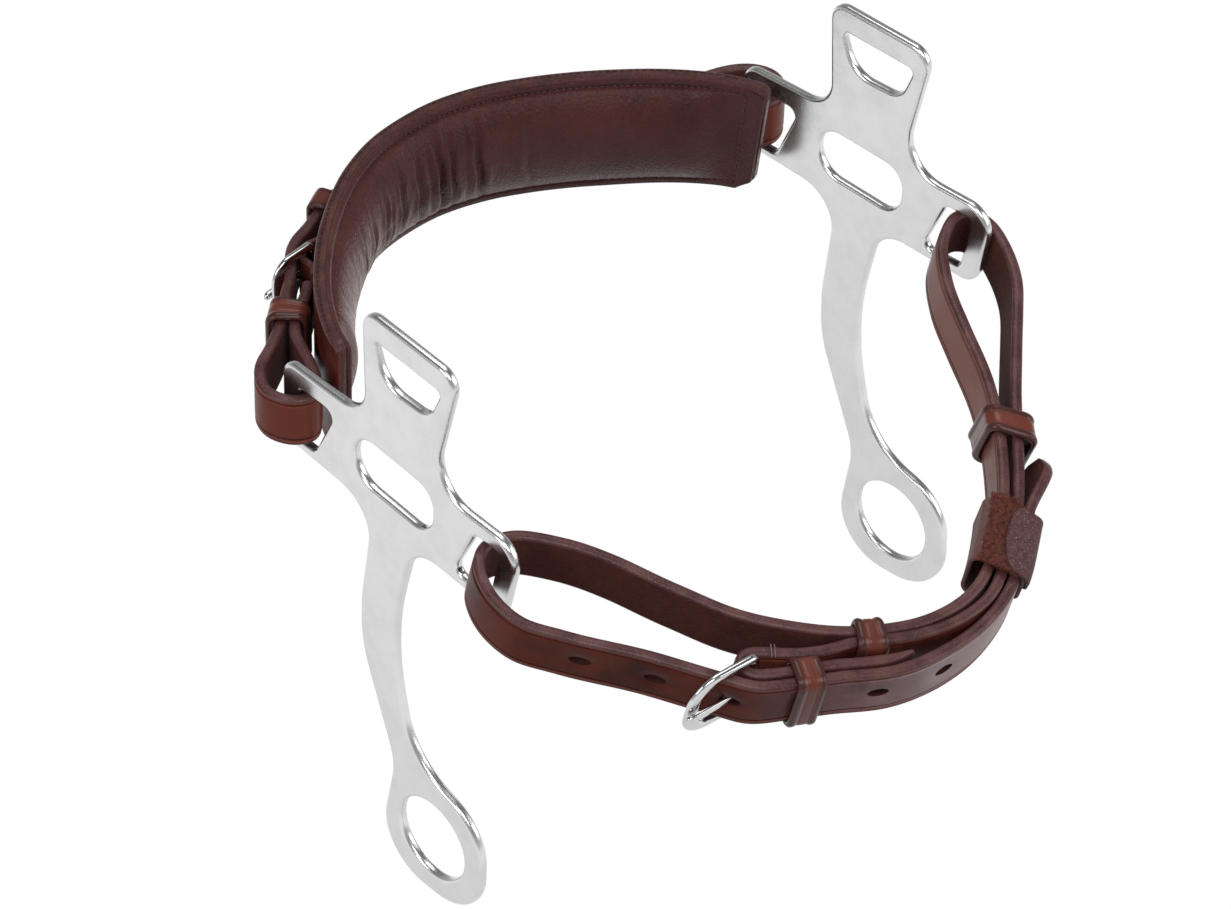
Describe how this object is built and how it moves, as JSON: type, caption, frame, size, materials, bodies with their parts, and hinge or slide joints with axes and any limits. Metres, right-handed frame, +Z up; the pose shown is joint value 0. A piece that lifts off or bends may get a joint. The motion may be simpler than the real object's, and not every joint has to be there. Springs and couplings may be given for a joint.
{
  "type": "hackamore",
  "caption": "Bitless bridle noseband: two steel lever cheeks joined by a padded leather noseband and a buckled leather curb strap.",
  "frame": {"origin": "the middle of the padded face that rests on the front of the horse's nose", "axes": "-Y the way the horse's nose points, +X the horse's left, +Z up along the face"},
  "size_m": [0.2123, 0.2313, 0.1944],
  "materials": {
    "polished_steel": "mirror-polished stainless plate, eased edges, satin cut edge",
    "buckle_steel": "polished steel, slightly worn",
    "brown_leather": "dark reddish-brown bridle leather, smooth grain outside, rough flesh inside",
    "pad_leather": "dark brown grained leather over a soft filling, creased at the bends",
    "keeper_leather": "glossy red-brown leather with a raised ridge along each edge",
    "wrap_fabric": "rust-brown fuzzy loop pile",
    "flap_webbing": "mauve-brown hook tape, fine texture"
  },
  "bodies": {
    "noseband": {"noseband_base": "brown_leather", "noseband_pad": "pad_leather", "left_chape": "brown_leather", "right_chape": "brown_leather", "left_tip_keeper": "keeper_leather", "right_tip_keeper": "keeper_leather", "left_billet": "brown_leather", "right_billet": "brown_leather"},
    "left_lever": {"left_cheek": "polished_steel"},
    "right_lever": {"right_cheek": "polished_steel"},
    "left_buckle": {"left_buckle_frame": "buckle_steel"},
    "left_tongue": {"left_prong": "buckle_steel"},
    "right_buckle": {"right_buckle_frame": "buckle_steel"},
    "right_tongue": {"right_prong": "buckle_steel"},
    "left_keeper": {"left_loop_keeper": "keeper_leather"},
    "right_keeper": {"right_loop_keeper": "keeper_leather"},
    "curb": {"curb_strap": "brown_leather", "curb_wrap": "wrap_fabric", "curb_fixed_keeper": "keeper_leather"},
    "curb_buckle": {"curb_buckle_frame": "buckle_steel"},
    "curb_tongue": {"curb_prong": "buckle_steel"},
    "curb_near_slider": {"curb_loose_keeper": "keeper_leather"},
    "curb_far_slider": {"curb_far_keeper": "keeper_leather"},
    "wrap_end": {"curb_wrap_flap": "flap_webbing"}
  },
  "joints": [
    {"name": "left_lever_turn", "type": "hinge", "parent": "noseband", "child": "left_lever", "pos_m": [0, 0.0412, 0], "axis": [1, 0, 0], "range_deg": [0, 40], "deforming": ["left_billet"]},
    {"name": "right_lever_turn", "type": "hinge", "parent": "noseband", "child": "right_lever", "pos_m": [0, 0.0412, 0], "axis": [1, 0, 0], "range_deg": [0, 40], "deforming": ["right_billet"]},
    {"name": "left_buckle_turn", "type": "hinge", "parent": "noseband", "child": "left_buckle", "pos_m": [0.04904, 0.00391, 0.0005], "axis": [0, 0, 1], "range_deg": [-1.5, 0]},
    {"name": "left_tongue_turn", "type": "hinge", "parent": "left_buckle", "child": "left_tongue", "pos_m": [0.04904, 0.00391, 0.0005], "axis": [0, 0, -1], "range_deg": [0, 2]},
    {"name": "right_buckle_turn", "type": "hinge", "parent": "noseband", "child": "right_buckle", "pos_m": [-0.04904, 0.00391, 0.0005], "axis": [0, 0, -1], "range_deg": [-1.5, 0]},
    {"name": "right_tongue_turn", "type": "hinge", "parent": "right_buckle", "child": "right_tongue", "pos_m": [-0.04904, 0.00391, 0.0005], "axis": [0, 0, 1], "range_deg": [0, 2]},
    {"name": "left_keeper_slide", "type": "slide", "parent": "noseband", "child": "left_keeper", "axis": [0.7999, 0.6001, 0], "range_m": [-0.002, 0.002]},
    {"name": "right_keeper_slide", "type": "slide", "parent": "noseband", "child": "right_keeper", "axis": [-0.7999, 0.6001, 0], "range_m": [-0.002, 0.002]},
    {"name": "curb_swing", "type": "hinge", "parent": "left_lever", "child": "curb", "pos_m": [0.00255, 0.12479, -0.0031], "axis": [0.9998, -0.0016, -0.0201], "range_deg": [0, 6]},
    {"name": "curb_buckle_turn", "type": "hinge", "parent": "curb", "child": "curb_buckle", "pos_m": [0.06811, 0.18404, -0.02028], "axis": [0.02, 0.2249, 0.9742], "range_deg": [0, 1.5]},
    {"name": "curb_tongue_turn", "type": "hinge", "parent": "curb_buckle", "child": "curb_tongue", "pos_m": [0.06811, 0.18404, -0.02028], "axis": [0.02, 0.2249, 0.9742], "range_deg": [0, 2]},
    {"name": "curb_near_keeper_slide", "type": "slide", "parent": "curb", "child": "curb_near_slider", "axis": [0.8301, -0.5468, 0.1092], "range_m": [-0.002, 0.001]},
    {"name": "curb_far_keeper_slide", "type": "slide", "parent": "curb", "child": "curb_far_slider", "axis": [0.6397, 0.746, -0.1853], "range_m": [-0.002, 0.002]},
    {"name": "wrap_end_peel", "type": "hinge", "parent": "curb", "child": "wrap_end", "pos_m": [-0.02289, 0.20452, -0.03187], "axis": [-0.8435, -0.5193, 0.1372], "range_deg": [0, 120]}
  ],
  "couplings": [
    {"joint": "right_lever_turn", "follows": "left_lever_turn", "ratio": 1}
  ]
}
